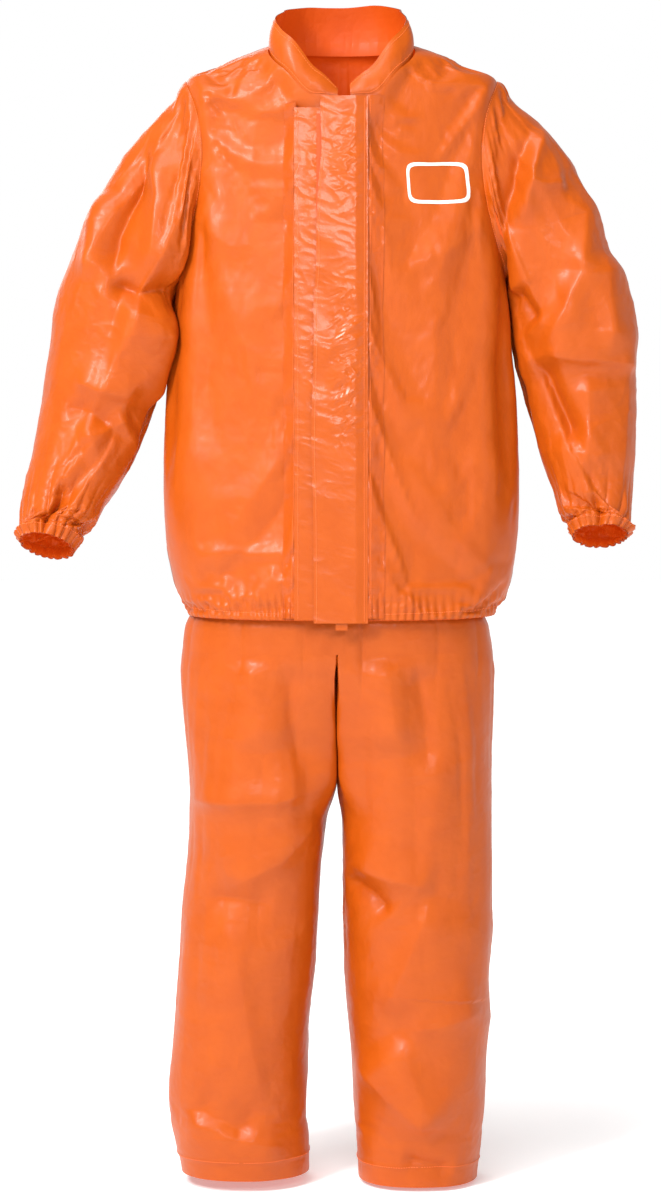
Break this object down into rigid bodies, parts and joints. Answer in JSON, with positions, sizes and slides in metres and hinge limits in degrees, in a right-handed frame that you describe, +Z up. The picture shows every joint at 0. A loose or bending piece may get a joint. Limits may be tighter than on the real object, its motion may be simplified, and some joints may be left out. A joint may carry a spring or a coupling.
{
  "type": "chemical protective suit",
  "caption": "Two-piece protective suit: zip jacket with stand-up collar, double storm flap, elastic hem and cuffs, and elastic-waist trousers with open ankles.",
  "frame": {"origin": "centre of the neckline, level with the sides of the neck, where the wearer's neck stands", "axes": "+Z up, along the height of the suit; -Y the wearer's front; +X the wearer's left"},
  "size_m": [0.8325, 0.276, 1.5546],
  "materials": {
    "shell": "glossy coated laminate, orange",
    "flap_shell": "glossy coated laminate, crinkled",
    "seam_tape": "heat-sealed tape, orange",
    "elastic": "knitted elastic",
    "zip_tape": "woven polyester tape",
    "zip_plastic": "moulded acetal, orange",
    "fastener_strip": "woven hook and loop",
    "print": "matt ink"
  },
  "bodies": {
    "jacket": {"front_panel_right": "shell", "front_panel_left": "shell", "back_panel": "shell", "collar": "shell", "name_panel": "print", "jacket_hem_elastic": "elastic", "jacket_hem_facing": "shell", "side_seam_tape_right": "seam_tape", "side_seam_tape_left": "seam_tape", "shoulder_seam_tape_right": "seam_tape", "shoulder_seam_tape_left": "seam_tape", "outer_flap_seam_band": "seam_tape", "inner_flap_seam_band": "seam_tape", "zip_tape_right": "zip_tape", "zip_tape_left": "zip_tape", "zip_teeth_right": "zip_plastic", "zip_teeth_left": "zip_plastic", "zip_top_stops": "zip_plastic", "zip_box": "zip_plastic", "sleeve_head_right": "shell", "sleeve_head_left": "shell"},
    "outer_flap": {"outer_flap": "flap_shell", "outer_flap_hook_strip": "fastener_strip"},
    "inner_flap": {"inner_flap": "flap_shell", "inner_flap_loop_strip": "fastener_strip"},
    "slider": {"zip_slider": "zip_plastic"},
    "pull_tab": {"zip_pull_tab": "zip_plastic"},
    "trousers": {"seat_front": "shell", "seat_back": "shell", "waist_elastic": "elastic", "waist_facing": "shell", "crotch_gusset": "shell", "leg_root_right": "shell", "leg_root_left": "shell"},
    "upper_arm_right": {"upper_sleeve_right": "shell"},
    "forearm_right": {"lower_sleeve_right": "shell", "cuff_elastic_right": "elastic", "cuff_facing_right": "shell"},
    "thigh_right": {"thigh_front_right": "shell", "thigh_back_right": "shell"},
    "shin_right": {"shin_front_right": "shell", "shin_back_right": "shell", "ankle_hem_right": "shell"},
    "upper_arm_left": {"upper_sleeve_left": "shell"},
    "forearm_left": {"lower_sleeve_left": "shell", "cuff_elastic_left": "elastic", "cuff_facing_left": "shell"},
    "thigh_left": {"thigh_front_left": "shell", "thigh_back_left": "shell"},
    "shin_left": {"shin_front_left": "shell", "shin_back_left": "shell", "ankle_hem_left": "shell"}
  },
  "joints": [
    {"name": "zip_slide", "type": "slide", "parent": "jacket", "child": "slider", "axis": [0, 0.055, 0.9985], "range_m": [-0.636, 0]},
    {"name": "outer_flap_open", "type": "hinge", "parent": "jacket", "child": "outer_flap", "pos_m": [0.0335, -0.14178, -0.75346], "axis": [0, 0.055, 0.9985], "range_deg": [0, 150]},
    {"name": "inner_flap_open", "type": "hinge", "parent": "jacket", "child": "inner_flap", "pos_m": [-0.061, -0.13819, -0.75366], "axis": [0, -0.055, -0.9985], "range_deg": [0, 60]},
    {"name": "pull_tab_swing", "type": "hinge", "parent": "slider", "child": "pull_tab", "pos_m": [0, -0.09785, -0.09889], "axis": [-1, 0, 0], "range_deg": [0, 75]},
    {"name": "trousers_drop", "type": "slide", "parent": "jacket", "child": "trousers", "axis": [0, 0, -1], "range_m": [0, 0.12]},
    {"name": "shoulder_right", "type": "hinge", "parent": "jacket", "child": "upper_arm_right", "pos_m": [-0.207, 0, -0.19], "axis": [0, 1, 0], "range_deg": [0, 45]},
    {"name": "elbow_right", "type": "hinge", "parent": "upper_arm_right", "child": "forearm_right", "pos_m": [-0.32696, 0.0073, -0.4336], "axis": [-0.9541, 0, 0.2995], "range_deg": [0, 80]},
    {"name": "hip_right", "type": "hinge", "parent": "trousers", "child": "thigh_right", "pos_m": [-0.104, 0, -0.85], "axis": [-1, 0, 0], "range_deg": [0, 65]},
    {"name": "knee_right", "type": "hinge", "parent": "thigh_right", "child": "shin_right", "pos_m": [-0.124, -0.003, -1.185], "axis": [1, 0, 0], "range_deg": [0, 80]},
    {"name": "shoulder_left", "type": "hinge", "parent": "jacket", "child": "upper_arm_left", "pos_m": [0.207, 0, -0.19], "axis": [0, -1, 0], "range_deg": [0, 45]},
    {"name": "elbow_left", "type": "hinge", "parent": "upper_arm_left", "child": "forearm_left", "pos_m": [0.32118, 0.0073, -0.4137], "axis": [-0.976, 0, -0.218], "range_deg": [0, 80]},
    {"name": "hip_left", "type": "hinge", "parent": "trousers", "child": "thigh_left", "pos_m": [0.104, 0, -0.85], "axis": [-1, 0, 0], "range_deg": [0, 65]},
    {"name": "knee_left", "type": "hinge", "parent": "thigh_left", "child": "shin_left", "pos_m": [0.102, -0.003, -1.185], "axis": [1, 0, 0], "range_deg": [0, 80]}
  ],
  "couplings": [
    {"joint": "inner_flap_open", "follows": "outer_flap_open", "ratio": 0.4},
    {"joint": "pull_tab_swing", "follows": "outer_flap_open", "ratio": 0.5}
  ]
}
